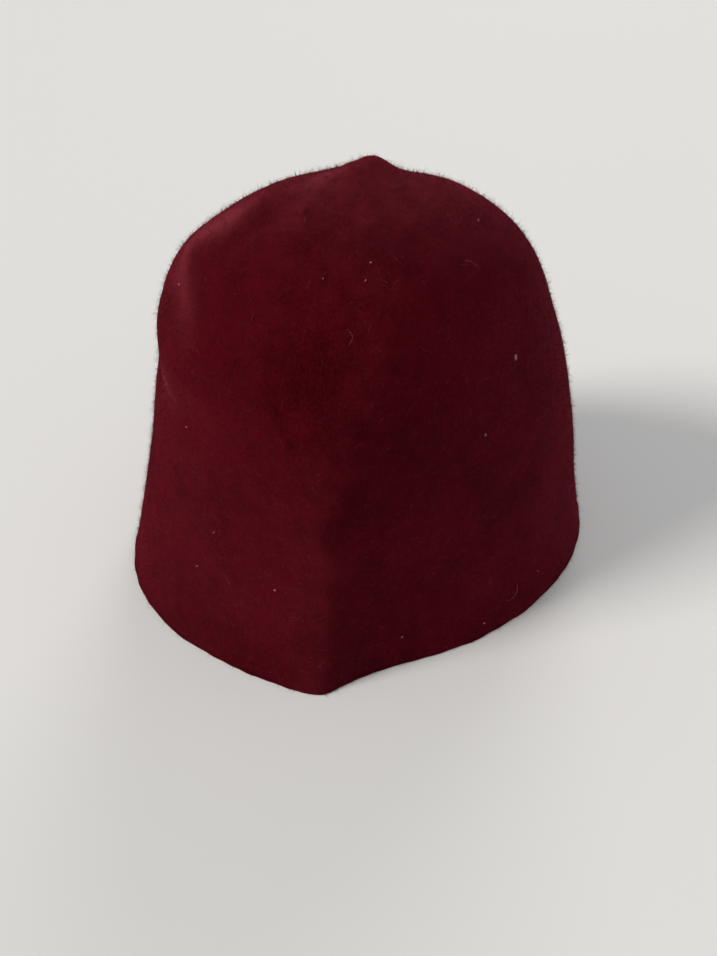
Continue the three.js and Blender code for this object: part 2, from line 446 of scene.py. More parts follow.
class NodeSheet:
    """A node tree with short ways to add nodes and to fill or join their inputs."""

    STEP = 190.0

    def __init__(self, tree: bpy.types.NodeTree) -> None:
        """Starts on a tree."""
        self.tree = tree
        self.count = 0

    def add(self, kind: str, inputs: dict | None = None, **settings: object) -> Node:
        """Adds one node.

        Args:
            kind: The node's type name.
            inputs: What goes into its inputs, by socket name or number: a value or another socket.
            **settings: The node's own settings.

        Returns:
            The node.
        """
        node = self.tree.nodes.new(kind)
        node.location = (self.STEP * (self.count % 12), -self.STEP * (self.count // 12))
        self.count += 1
        for name, value in settings.items():
            setattr(node, name, value)
        for name, value in (inputs or {}).items():
            self.fill(node, name, value)
        return node

    def fill(self, node: Node, name: str | int, value: object) -> None:
        """Joins a socket to a node's input, or sets the input to a value."""
        target = node.inputs[name] if isinstance(name, int) else self.live(node.inputs, name)
        if isinstance(value, Socket):
            self.tree.links.new(value, target)
        else:
            target.default_value = value

    @staticmethod
    def live(sockets: bpy.types.bpy_prop_collection, name: str) -> Socket:
        """The socket of that name that the node's settings leave in use."""
        return next(socket for socket in sockets if socket.name == name and socket.enabled)

    def out(self, node: Node, name: str) -> Socket:
        """A node's output in use, by name."""
        return self.live(node.outputs, name)

    def math(self, operation: str, first: object, second: object = 0.0) -> Socket:
        """The result of one sum of two values or sockets."""
        return self.add("ShaderNodeMath", {0: first, 1: second}, operation=operation).outputs[0]

    def scaled(self, value: object, given: Range, wanted: Range = (0.0, 1.0)) -> Socket:
        """A value moved smoothly from a given range to a wanted one."""
        limits = {"From Min": given[0], "From Max": given[1], "To Min": wanted[0], "To Max": wanted[1]}
        smooth = {"interpolation_type": "SMOOTHSTEP"}
        return self.add("ShaderNodeMapRange", {"Value": value, **limits}, **smooth).outputs[0]

    def mixed(self, share: object, first: object, second: object) -> Socket:
        """Two colours mixed by a share from 0 to 1."""
        node = self.add("ShaderNodeMix", {"Factor": share, "A": first, "B": second}, data_type="RGBA")
        return self.out(node, "Result")

    def surface(self, inputs: dict) -> None:
        """Ends a material in one Principled surface with these inputs."""
        shader = self.add("ShaderNodeBsdfPrincipled", inputs)
        self.add("ShaderNodeOutputMaterial", {"Surface": shader.outputs[0]})


def material_sheet(name: str) -> tuple[bpy.types.Material, NodeSheet]:
    """Starts an empty material and gives it with its sheet."""
    made = bpy.data.materials.new(name)
    made.use_nodes = True
    made.node_tree.nodes.clear()
    return made, NodeSheet(made.node_tree)


def group_sheet(
    name: str, inputs: dict[str, float], outputs: tuple[str, ...]
) -> tuple[NodeSheet, Node, Node]:
    """Starts a shader node group with named number inputs and outputs.

    Args:
        name: The group's name.
        inputs: Its inputs with their usual values.
        outputs: Its outputs.

    Returns:
        The sheet, the group's input node and its output node.
    """
    tree = bpy.data.node_groups.new(name, "ShaderNodeTree")
    for label, value in inputs.items():
        socket = tree.interface.new_socket(label, in_out="INPUT", socket_type="NodeSocketFloat")
        socket.default_value = value
    for label in outputs:
        tree.interface.new_socket(label, in_out="OUTPUT", socket_type="NodeSocketFloat")
    sheet = NodeSheet(tree)
    return sheet, sheet.add("NodeGroupInput"), sheet.add("NodeGroupOutput")


class FibrePattern:
    """Wool fibres that cross each other all ways, as a shader node group."""

    TURNS = ((0.3, 0.5, 0.1), (1.2, 0.2, 0.8), (0.7, 1.4, 0.4), (1.9, 0.9, 1.3), (0.1, 0.9, 2.2))
    LINE = 0.045
    SEED_STEP = 3.7
    WANDER = 0.5

    def __init__(self) -> None:
        """Builds the group."""
        sheet, given, made = group_sheet(
            "felted_fibres", {"Length": 0.003, "Width": 0.0003, "Seed": 0.0}, ("Fibres",)
        )
        place = sheet.add("ShaderNodeTexCoord").outputs["Object"]
        per_length = sheet.math("DIVIDE", 1.0, given.outputs["Length"])
        per_width = sheet.math("DIVIDE", 1.0, given.outputs["Width"])
        scale = sheet.add("ShaderNodeCombineXYZ", {"X": per_length, "Y": per_width, "Z": per_width})
        total = None
        for number, turn in enumerate(self.TURNS):
            turned = sheet.add(
                "ShaderNodeVectorRotate", {"Vector": place, "Rotation": turn}, rotation_type="EULER_XYZ"
            )
            drawn = sheet.add(
                "ShaderNodeVectorMath", {0: turned.outputs[0], 1: scale.outputs[0]}, operation="MULTIPLY"
            )
            w = sheet.math("ADD", given.outputs["Seed"], self.SEED_STEP * number)
            look = {"Scale": 1.0, "Detail": 1.0, "Distortion": self.WANDER}
            noise_field = sheet.add(
                "ShaderNodeTexNoise", {"Vector": drawn.outputs[0], "W": w, **look}, noise_dimensions="4D"
            )
            away = sheet.math("ABSOLUTE", sheet.math("SUBTRACT", noise_field.outputs[0], 0.5))
            line = sheet.scaled(away, (0.0, self.LINE), (1.0, 0.0))
            total = line if total is None else sheet.math("MAXIMUM", total, line)
        sheet.fill(made, "Fibres", total)
        self.tree = sheet.tree


class WoolCloud:
    """The uneven depth of dyed wool: wide soft patches and small clouds, as a shader node group."""

    LAYERS = (("Patch", 0.55), ("Cloud", 0.3), ("Grain", 0.15))
    ROUGHNESS = 0.55

    def __init__(self) -> None:
        """Builds the group."""
        sheet, given, made = group_sheet(
            "wool_cloud", {"Patch": 0.035, "Cloud": 0.006, "Grain": 0.0012}, ("Shade",)
        )
        place = sheet.add("ShaderNodeTexCoord").outputs["Object"]
        total = None
        for label, strength in self.LAYERS:
            scale = sheet.math("DIVIDE", 1.0, given.outputs[label])
            cloud = sheet.add(
                "ShaderNodeTexNoise",
                {"Vector": place, "Scale": scale, "Detail": 2.0, "Roughness": self.ROUGHNESS},
            )
            part = sheet.math("MULTIPLY", cloud.outputs[0], strength)
            total = part if total is None else sheet.math("ADD", total, part)
        sheet.fill(made, "Shade", total)
        self.tree = sheet.tree


@dataclass(frozen=True)
class WoolFinish:
    """Loose dyed wool: nap, stray fibres or lint. Colours are linear."""

    name: str
    deep: Colour
    lit: Colour
    sheen_tint: Colour
    sheen: float = 0.08
    sheen_roughness: float = 0.4
    roughness: float = 0.95
    specular: float = 0.0
    shade_range: Range = (0.35, 0.65)

    def material(self, cloud: WoolCloud) -> bpy.types.Material:
        """Makes the loose wool's material from the wool cloud group."""
        made, sheet = material_sheet(self.name)
        sheet.surface(self.inputs(self.dye(sheet, self.shade(sheet, cloud))))
        return made

    def shade(self, sheet: NodeSheet, cloud: WoolCloud) -> Socket:
        """The cloudy depth of the dye."""
        return sheet.add("ShaderNodeGroup", node_tree=cloud.tree).outputs["Shade"]

    def dye(self, sheet: NodeSheet, shade: Socket) -> Socket:
        """The colour at each depth of the dye."""
        depth = sheet.scaled(shade, self.shade_range)
        return sheet.mixed(depth, (*self.deep, 1), (*self.lit, 1))

    def inputs(self, colour: Socket) -> dict[str, object]:
        """What a surface of this wool is made of."""
        return {
            "Base Color": colour,
            "Roughness": self.roughness,
            "Specular IOR Level": self.specular,
            "Sheen Weight": self.sheen,
            "Sheen Roughness": self.sheen_roughness,
            "Sheen Tint": (*self.sheen_tint, 1),
        }


@dataclass(frozen=True)
class FeltFinish(WoolFinish):
    """Pressed wool felt: fibres show, paler where rubbed and where sheen is painted, and slightly lumpy.
    """

    name: str = "crimson_felt"
    deep: Colour = (0.021, 0.0003, 0.0016)
    lit: Colour = (0.053, 0.0012, 0.0044)
    sheen_tint: Colour = (1.0, 0.15, 0.22)
    sheen: float = 0.27
    sheen_roughness: float = 0.26
    shade_range: Range = (0.37, 0.63)
    fibre: Colour = (0.105, 0.0050, 0.0100)
    fibre_length: float = 0.0036
    fibre_width: float = 0.00042
    fibre_share: float = 0.42
    # Paler pink felt: the colour of rubbed felt, also used as a painted sheen highlight on the folds and
    # top.
    worn_and_sheen: Colour = (0.238, 0.0360, 0.0500)
    wear_sheen_share: float = 0.55
    wear_sheen_range: Range = (0.35, 0.60)
    wear_sheen_spread: Range = (0.4, 1.0)
    lump_size: float = 0.0024
    grain_size: float = 0.0007
    grain_height: float = 0.25
    fibre_height: float = 0.22
    relief: float = 0.00030
    relief_strength: float = 0.9

    def felt_material(self, fibres: FibrePattern, cloud: WoolCloud) -> bpy.types.Material:
        """Makes the felt's material.

        Args:
            fibres: The fibre pattern group.
            cloud: The wool cloud group.

        Returns:
            The material.
        """
        made, sheet = material_sheet(self.name)
        shade = self.shade(sheet, cloud)
        size = {"Length": self.fibre_length, "Width": self.fibre_width}
        lines = sheet.add("ShaderNodeGroup", size, node_tree=fibres.tree).outputs["Fibres"]
        showing = sheet.math("MULTIPLY", lines, self.fibre_share)
        colour = sheet.mixed(showing, self.dye(sheet, shade), (*self.fibre, 1))
        # Rubbed felt with a painted sheen highlight: mixes towards the pale pink colour by the crown's
        # rubbing-and-sheen attribute.
        wear = sheet.add("ShaderNodeAttribute", attribute_name="wear", attribute_type="GEOMETRY")
        rubbed_and_sheen = sheet.math("MULTIPLY", wear.outputs["Fac"], self.wear_sheen_share)
        rubbed_and_sheen = sheet.math("MULTIPLY", rubbed_and_sheen, sheet.scaled(shade, self.wear_sheen_range, self.wear_sheen_spread))
        colour = sheet.mixed(rubbed_and_sheen, colour, (*self.worn_and_sheen, 1))
        bump = sheet.add(
            "ShaderNodeBump",
            {
                "Height": self.height(sheet, lines),
                "Distance": self.relief,
                "Strength": self.relief_strength,
            },
        )
        sheet.surface({**self.inputs(colour), "Normal": bump.outputs[0]})
        return made

    def height(self, sheet: NodeSheet, lines: Socket) -> Socket:
        """The felt's relief: lumps, a fine grain and the fibres that cross it."""
        place = sheet.add("ShaderNodeTexCoord").outputs["Object"]
        lump, grain = (
            sheet.add("ShaderNodeTexNoise", {"Vector": place, "Scale": 1 / size, "Detail": detail})
            for size, detail in ((self.lump_size, 2.0), (self.grain_size, 1.0))
        )
        fine = sheet.math("MULTIPLY", grain.outputs[0], self.grain_height)
        fine = sheet.math("ADD", lump.outputs[0], fine)
        return sheet.math("ADD", fine, sheet.math("MULTIPLY", lines, self.fibre_height))


NAP_FINISH = WoolFinish(
    "crimson_nap", (0.038, 0.0010, 0.0036), (0.130, 0.0080, 0.0140), (1.0, 0.2, 0.26)
)
STRAY_FINISH = WoolFinish(
    "stray_wool", (0.060, 0.0045, 0.0090), (0.195, 0.024, 0.034), (1.0, 0.40, 0.45), sheen=0.28
)
LINT_FINISH = WoolFinish("pale_lint", (0.24, 0.075, 0.085), (0.52, 0.235, 0.245), (1.0, 0.8, 0.75))


@dataclass
class FeltCrown:
    """The seamless crown as a fine closed shell: outer face, cut rim and inner face.

    Each lump is a size in the felt and each stand how far it stands out. The wears say how rubbed the
    folds, the top, the rim and the peak are; on the soft folds, the front fold, the top and the peak
    they also set how much pale sheen is painted. The powers say how closely this keeps to a fold.
    """

    form: CrownForm
    around: int = 340
    outer_rows: int = 196
    inner_rows: int = 54
    rim_rows: int = 10
    felt: float = 0.0026
    rim_rounding: float = 0.0007
    rim_boxiness: float = 0.55
    crowding: float = 0.3
    crowded_turn: float = -135.0
    wide_lump: float = 0.017
    wide_stand: float = 0.00035
    small_lump: float = 0.0055
    small_stand: float = 0.00013
    cut_lump: float = 0.0055
    cut_wander: float = 0.00035
    cut_lift: float = 0.0004
    inner_stand: float = 0.00015
    lift_threshold: float = 0.1
    # Weights of rubbing and painted sheen: the fold crests, front fold, top and peak get pale painted
    # sheen as well as rubbing; the back fold and rim are rubbing only.
    rubbed_sheen_top: float = 0.030
    broad_wear_and_sheen: float = 0.8
    broad_power: float = 1.5
    crest_wear_and_highlight: float = 0.9
    crest_power: float = 7.0
    long_fold_power: float = 5.0
    front_wear_and_highlight: float = 0.04
    low_front_wear_and_highlight: float = 0.13
    low_fade: float = 1.8
    back_wear: float = 0.16
    top_wear_and_sheen: float = 0.32
    rim_nap: float = 0.6
    rim_wear: float = 0.5
    peak_wear_and_sheen: float = 0.3
    shift: np.ndarray = field(default_factory=lambda: np.zeros(3))

    def turns(self) -> np.ndarray:
        """Turns of the corners round the crown, closer together round the folds."""
        even = 2 * math.pi * np.arange(self.around) / self.around
        return self.crowded_turn + np.degrees(even - self.crowding * np.sin(even))

    def face(self, rows: int) -> tuple[np.ndarray, np.ndarray, np.ndarray, np.ndarray]:
        """The outer face on a grid that leaves out the peak.

        Args:
            rows: How many rows the grid has.

        Returns:
            Turns, ways, points and outward directions, each as rows by corners round.
        """
        ways = self.form.even_ways(rows)[:-1]
        turn, way = np.meshgrid(self.turns(), ways)
        points = self.form.outer(turn, way)
        out = self.form.directions(True, turn, way)[2]
        lift = self.wide_stand * lumps(points, self.wide_lump, seed=3.1)
        lift = lift + self.small_stand * lumps(points, self.small_lump, seed=7.7)
        return turn, way, points + out * lift[..., None], out

    def wear(self, turn: np.ndarray, way: np.ndarray) -> np.ndarray:
        """How rubbed each point is and how much pale sheen is painted on it, from 0 to 1: most on the
        folds, then round the peak.
        """
        points = self.form.base(turn, way)
        soft = sum(np.clip(self.form.fold_share(points, fold), 0.0, 1.0) for fold in self.form.folds)
        # Soft fold crests: a broad pale band and a narrow bright line along each ridge, painted sheen and
        # highlight as well as rubbing.
        soft = self.broad_wear_and_sheen * soft**self.broad_power + self.crest_wear_and_highlight * soft**self.crest_power
        # Front fold: a lighter strip along its crest, strongest near the rim, a painted highlight of its
        # lit side as well as rubbing.
        low = np.clip(1.0 - self.low_fade * way, 0.0, 1.0)
        front = self.form.front_fold(turn, way) ** self.long_fold_power
        front = (self.front_wear_and_highlight + self.low_front_wear_and_highlight * low) * front
        back = self.back_wear * self.form.back_fold(turn, way) ** self.long_fold_power
        # Round the peak: a pale patch of painted sheen as well as rubbing.
        top = np.exp(-((np.hypot(points[..., 0], points[..., 1]) / self.rubbed_sheen_top) ** 2))
        top = self.top_wear_and_sheen * (top * smooth_step(way, *self.form.peak_range))
        return np.clip(soft + front + back + top, 0.0, 1.0)

    def rim(self, outer: np.ndarray, inner: np.ndarray, out: np.ndarray) -> np.ndarray:
        """The cut rim between the lowest rows of the two faces.

        Args:
            outer: The outer face's lowest row, at the rim's height.
            inner: The inner face's lowest row, at the rim's height.
            out: Outward directions there, level.

        Returns:
            Rows of points from the outer face to the inner one.
        """
        middle = (outer + inner) / 2
        half = (outer - inner) / 2
        rows = []
        for step in range(1, self.rim_rows):
            angle = math.pi * step / self.rim_rows
            along = math.copysign(abs(math.cos(angle)) ** self.rim_boxiness, math.cos(angle))
            down = math.sin(angle) ** self.rim_boxiness
            row = middle + half * along
            row[:, 2] = middle[:, 2] * (1 - down)
            rows.append(row)
        return np.array(rows)

    def build(self) -> bpy.types.Object:
        """Makes the crown's mesh, with the rubbing, painted sheen and nap of each corner as attributes."""
        turn, way, outer, out = self.face(self.outer_rows)
        level = unit(out[0] * np.array([1.0, 1.0, 0.0]))
        wander = self.cut_wander * lumps(outer[0], self.cut_lump, seed=1.7)
        outer[0, :, 2] = self.rim_rounding
        outer[0] += level * wander[:, None]
        points, inner_out = self.face(self.inner_rows)[2:]
        thick = self.felt + self.inner_stand * lumps(points, self.small_lump, seed=11.3)
        inner = points - inner_out * thick[..., None]
        inner[0] = outer[0] - level * self.felt
        peak = self.form.outer(np.array([0.0]), np.array([1.0]))
        rim = self.rim(outer[0], inner[0], level)
        waves = lumps(outer[0], self.cut_lump, seed=5.9) + self.lift_threshold
        lift = self.cut_lift * np.clip(waves, 0.0, 1.0)
        rim[:, :, 2] += lift[None, :] * (1 - rim[:, :, 2] / self.rim_rounding)
        rings = [peak, *outer[::-1], *rim, *inner, peak - np.array([0.0, 0.0, self.felt])]
        corners = np.concatenate(rings)
        starts = np.cumsum([0, *[len(ring) for ring in rings]])
        faces = []
        for ring in range(len(rings) - 1):
            a, b = int(starts[ring]), int(starts[ring + 1])
            for index in range(self.around):
                after = (index + 1) % self.around
                if ring == 0:
                    faces.append((a, b + index, b + after))
                elif ring == len(rings) - 2:
                    faces.append((a + index, b, a + after))
                else:
                    faces.append((a + index, b + index, b + after, a + after))
        corners = corners + self.fit(corners)
        crown = new_mesh("felt_crown_dressed", corners, faces)
        self.mark(crown, len(outer), len(rim), len(inner), self.wear(turn, way))
        return crown

    def fit(self, corners: np.ndarray) -> np.ndarray:
        """The level shift that puts the crown in the middle of its CAD box."""
        low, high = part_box(CROWN_NODE)
        middle = (corners.min(axis=0) + corners.max(axis=0)) / 2
        self.shift = np.array([(low.x + high.x) / 2 - middle[0], (low.y + high.y) / 2 - middle[1], 0.0])
        return self.shift

    def mark(self, crown: bpy.types.Object, outer: int, rim: int, inner: int, wear: np.ndarray) -> None:
        """Writes the crown's attributes: rubbing with painted sheen, and where the nap stands outside and
        inside.

        Args:
            crown: The crown's object.
            outer: How many rows the outer face has.
            rim: How many rows the rim has.
            inner: How many rows the inner face has.
            wear: The outer face's rubbing and painted sheen.
        """
        top, edge, lining = outer * self.around, rim * self.around, inner * self.around
        outside = np.concatenate([np.ones(1 + top), np.full(edge, self.rim_nap), np.zeros(lining + 1)])
        inside = np.concatenate([np.zeros(1 + top + edge), np.ones(lining + 1)])
        rim_wear = np.full(edge, self.rim_wear)
        # The peak's and outer face's rubbing with painted sheen, the rim's rubbing, and nothing inside.
        worn_and_sheen = np.concatenate([[self.peak_wear_and_sheen], wear[::-1].ravel(), rim_wear, np.zeros(lining + 1)])
        for name, values in (("outside", outside), ("inside", inside), ("wear", worn_and_sheen)):
            attribute = crown.data.attributes.new(name, "FLOAT", "POINT")
            attribute.data.foreach_set("value", values.astype(np.float32))


class FibreTree:
    """Geometry Nodes that plant bent fibres on a surface."""

    BENDS = (0.15, 0.45, 0.8)
    SINK = 0.08
    DROOP = -0.4
    FLOOR_GAP = 0.00015
    SIZES = (0.55, 1.45)
    SHARES = {"Density": 1e5, "Length": 0.0012, "Thickness": 0.00005, "Lean Least": 0.3, "Lean Most": 1.3}
    COUNTS = {"Segments": 2, "Seed": 1}

    def __init__(self) -> None:
        """Builds the tree."""
        tree = bpy.data.node_groups.new("planted_fibres", "GeometryNodeTree")
        self.tree = tree
        face = tree.interface
        face.new_socket("Bed", in_out="INPUT", socket_type="NodeSocketGeometry")
        for kind, usual in (("NodeSocketFloat", self.SHARES), ("NodeSocketInt", self.COUNTS)):
            for label, value in usual.items():
                face.new_socket(label, in_out="INPUT", socket_type=kind).default_value = value
        face.new_socket("Region", in_out="INPUT", socket_type="NodeSocketString").default_value = "outside"
        face.new_socket("Wool", in_out="INPUT", socket_type="NodeSocketMaterial")
        face.new_socket("Fibres", in_out="OUTPUT", socket_type="NodeSocketGeometry")
        sheet = NodeSheet(tree)
        given = sheet.add("NodeGroupInput")
        made = sheet.add("NodeGroupOutput")
        region = sheet.add(
            "GeometryNodeInputNamedAttribute", {"Name": given.outputs["Region"]}, data_type="FLOAT"
        )
        density = sheet.math("MULTIPLY", sheet.out(region, "Attribute"), given.outputs["Density"])
        planted = sheet.add(
            "GeometryNodeDistributePointsOnFaces",
            {"Mesh": given.outputs["Bed"], "Density": density, "Seed": given.outputs["Seed"]},
            distribute_method="RANDOM",
        )
        leans = given.outputs["Lean Least"], given.outputs["Lean Most"]
        lean = self.random(sheet, given, "FLOAT", leans, offset=11)
        spin = self.random(sheet, given, "FLOAT", (0.0, 2 * math.pi), offset=12)
        euler = sheet.add("ShaderNodeCombineXYZ", {"Y": lean, "Z": spin})
        by = sheet.add("FunctionNodeEulerToRotation", {"Euler": euler.outputs[0]})
        turned = sheet.add(
            "FunctionNodeRotateRotation",
            {"Rotation": planted.outputs["Rotation"], "Rotate By": by.outputs[0]},
            rotation_space="LOCAL",
        )
        size = self.random(sheet, given, "FLOAT", self.SIZES, offset=13)
        pick = self.random(sheet, given, "INT", (0, len(self.BENDS) - 1), offset=14)
        kinds = sheet.add("GeometryNodeJoinGeometry")
        for bend in self.BENDS:
            kind = sheet.add("GeometryNodeGeometryToInstance", {0: self.fibre(sheet, given, bend)})
            tree.links.new(kind.outputs[0], kinds.inputs[0])
        standing = sheet.add(
            "GeometryNodeInstanceOnPoints",
            {
                "Points": planted.outputs["Points"],
                "Instance": kinds.outputs[0],
                "Pick Instance": True,
                "Instance Index": pick,
                "Rotation": turned.outputs[0],
                "Scale": size,
            },
        )
        real = sheet.add("GeometryNodeRealizeInstances", {0: standing.outputs[0]})
        x, y, z = sheet.add("ShaderNodeSeparateXYZ", {0: self.position(sheet)}).outputs
        raised = sheet.math("MAXIMUM", z, self.FLOOR_GAP)
        place = sheet.add("ShaderNodeCombineXYZ", {"X": x, "Y": y, "Z": raised})
        above = sheet.add(
            "GeometryNodeSetPosition", {"Geometry": real.outputs[0], "Position": place.outputs[0]}
        )
        dressed = sheet.add(
            "GeometryNodeSetMaterial", {"Geometry": above.outputs[0], "Material": given.outputs["Wool"]}
        )
        sheet.fill(made, "Fibres", dressed.outputs[0])

    @staticmethod
    def position(sheet: NodeSheet) -> Socket:
        """Where each corner is."""
        return sheet.add("GeometryNodeInputPosition").outputs[0]

    @staticmethod
    def random(
        sheet: NodeSheet, given: Node, kind: str, limits: tuple[object, object], offset: int
    ) -> Socket:
        """A random value for each fibre, from the tree's seed and an offset of its own."""
        seed = sheet.math("ADD", given.outputs["Seed"], float(offset))
        inputs = {"Min": limits[0], "Max": limits[1], "Seed": seed}
        return sheet.out(sheet.add("FunctionNodeRandomValue", inputs, data_type=kind), "Value")

    def fibre(self, sheet: NodeSheet, given: Node, bend: float) -> Socket:
        """One tapered fibre that stands on the origin and bends over.

        Args:
            sheet: The tree's sheet.
            given: The tree's input node.
            bend: How far its tip leans out, as a share of its length.

        Returns:
            The fibre's geometry.
        """
        radius = sheet.math("MULTIPLY", given.outputs["Thickness"], 0.5)
        cone = sheet.add(
            "GeometryNodeMeshCone",
            {
                "Vertices": 3,
                "Side Segments": given.outputs["Segments"],
                "Radius Top": 0.0,
                "Radius Bottom": radius,
                "Depth": given.outputs["Length"],
            },
            fill_type="NGON",
        )
        place = sheet.add("ShaderNodeSeparateXYZ", {0: self.position(sheet)})
        share = sheet.math("DIVIDE", place.outputs["Z"], given.outputs["Length"])
        curve = sheet.math("MULTIPLY", sheet.math("MULTIPLY", share, share), given.outputs["Length"])
        side = sheet.math("MULTIPLY", curve, bend)
        sink = sheet.math("MULTIPLY", given.outputs["Length"], -self.SINK)
        down = sheet.math("ADD", sink, sheet.math("MULTIPLY", curve, self.DROOP * bend))
        move = sheet.add("ShaderNodeCombineXYZ", {"X": side, "Z": down}).outputs[0]
        bent = sheet.add("GeometryNodeSetPosition", {"Geometry": cone.outputs[0], "Offset": move})
        return sheet.add("GeometryNodeSetShadeSmooth", {0: bent.outputs[0]}).outputs[0]

    def plant(self, bed: bpy.types.Object, name: str, values: dict[str, object]) -> bpy.types.Object:
        """Plants fibres on a bed and gives them as a plain mesh.

        Args:
            bed: The piece they stand on, which stays as it is.
            name: The new piece's name.
            values: The tree's inputs by name.

        Returns:
            The fibres' object.
        """
        modifier = bed.modifiers.new(name, "NODES")
        modifier.node_group = self.tree
        for item in self.tree.interface.items_tree:
            if item.name in values and item.in_out == "INPUT":
                modifier[item.identifier] = values[item.name]
        graph = bpy.context.evaluated_depsgraph_get()
        mesh = bpy.data.meshes.new_from_object(bed.evaluated_get(graph), depsgraph=graph)
        bed.modifiers.remove(modifier)
        mesh.name = name
        fibres = bpy.data.objects.new(name, mesh)
        bpy.context.scene.collection.objects.link(fibres)
        return fibres


@dataclass(frozen=True)
class Planting:
    """One kind of fibre planted on the crown.

    Lengths are in metres, density in fibres a square metre and the least and most lean in radians.
    """

    name: str
    region: str
    density: float
    length: float
    thickness: float
    lean: Range
    segments: int
    seed: int
    finish: WoolFinish

    def inputs(self, wool: bpy.types.Material) -> dict[str, object]:
        """The fibre tree's inputs by name."""
        return {
            "Region": self.region,
            "Density": self.density,
            "Length": self.length,
            "Thickness": self.thickness,
            "Lean Least": self.lean[0],
            "Lean Most": self.lean[1],
            "Segments": self.segments,
            "Seed": self.seed,
            "Wool": wool,
        }


PLANTINGS = (
    Planting("nap_short", "outside", 240000, 0.0015, 0.00010, (0.20, 1.30), 2, 21, NAP_FINISH),
    Planting("nap_middle", "outside", 240000, 0.0022, 0.00009, (0.00, 1.15), 2, 22, NAP_FINISH),
    Planting("nap_inside", "inside", 90000, 0.0012, 0.00009, (0.5, 1.35), 2, 23, NAP_FINISH),
    Planting("nap_long", "outside", 70000, 0.0030, 0.00008, (0.10, 1.20), 4, 24, STRAY_FINISH),
    Planting("nap_halo", "outside", 200000, 0.0026, 0.00006, (0.00, 1.05), 2, 25, NAP_FINISH),
)


class LintKind(Enum):
    """What a bit of lint is."""

    SPECK = "speck"
    CURL = "curl"


@dataclass(frozen=True)
class Fleck:
    """A bit of lint: its kind, place, length in metres and turn on the felt in degrees.

    bow is how far a curl bends, as a share of its length, and radius its fibres' radius in metres.
    """

    kind: LintKind
    turn: float
    way: float
    size: float
    tilt: float
    bow: float = 0.0
    radius: float = 0.00008


FLECKS = (
    Fleck(LintKind.SPECK, -50.6, 0.4595, 0.0025, 85),
    Fleck(LintKind.SPECK, -65.3, 0.338, 0.0016, 80),
    Fleck(LintKind.SPECK, -101.5, 0.700, 0.0009, 10),
    Fleck(LintKind.SPECK, -104.0, 0.664, 0.0008, 40),
    Fleck(LintKind.SPECK, -122.0, 0.668, 0.0007, 120),
    Fleck(LintKind.SPECK, -157.5, 0.339, 0.0010, 20),
    Fleck(LintKind.SPECK, -145.0, 0.217, 0.0009, 60),
    Fleck(LintKind.SPECK, -149.5, 0.165, 0.0009, 140),
    Fleck(LintKind.SPECK, -127.0, 0.176, 0.0011, 30),
    Fleck(LintKind.SPECK, -47.5, 0.089, 0.0009, 100),
    Fleck(LintKind.CURL, -57.0, 0.075, 0.0085, 38, 0.4, 0.00005),
    Fleck(LintKind.SPECK, -68.5, 0.049, 0.0009, 0),
    Fleck(LintKind.SPECK, -94.0, 0.086, 0.0013, 20),
    Fleck(LintKind.CURL, -108.5, 0.559, 0.0050, 100, 0.35, 0.000028),
    Fleck(LintKind.CURL, -54.3, 0.648, 0.0050, 135, 0.22, 0.00003),
    Fleck(LintKind.SPECK, -31.0, 0.713, 0.0010, 50),
    Fleck(LintKind.SPECK, -173.0, 0.571, 0.0009, 90),
)


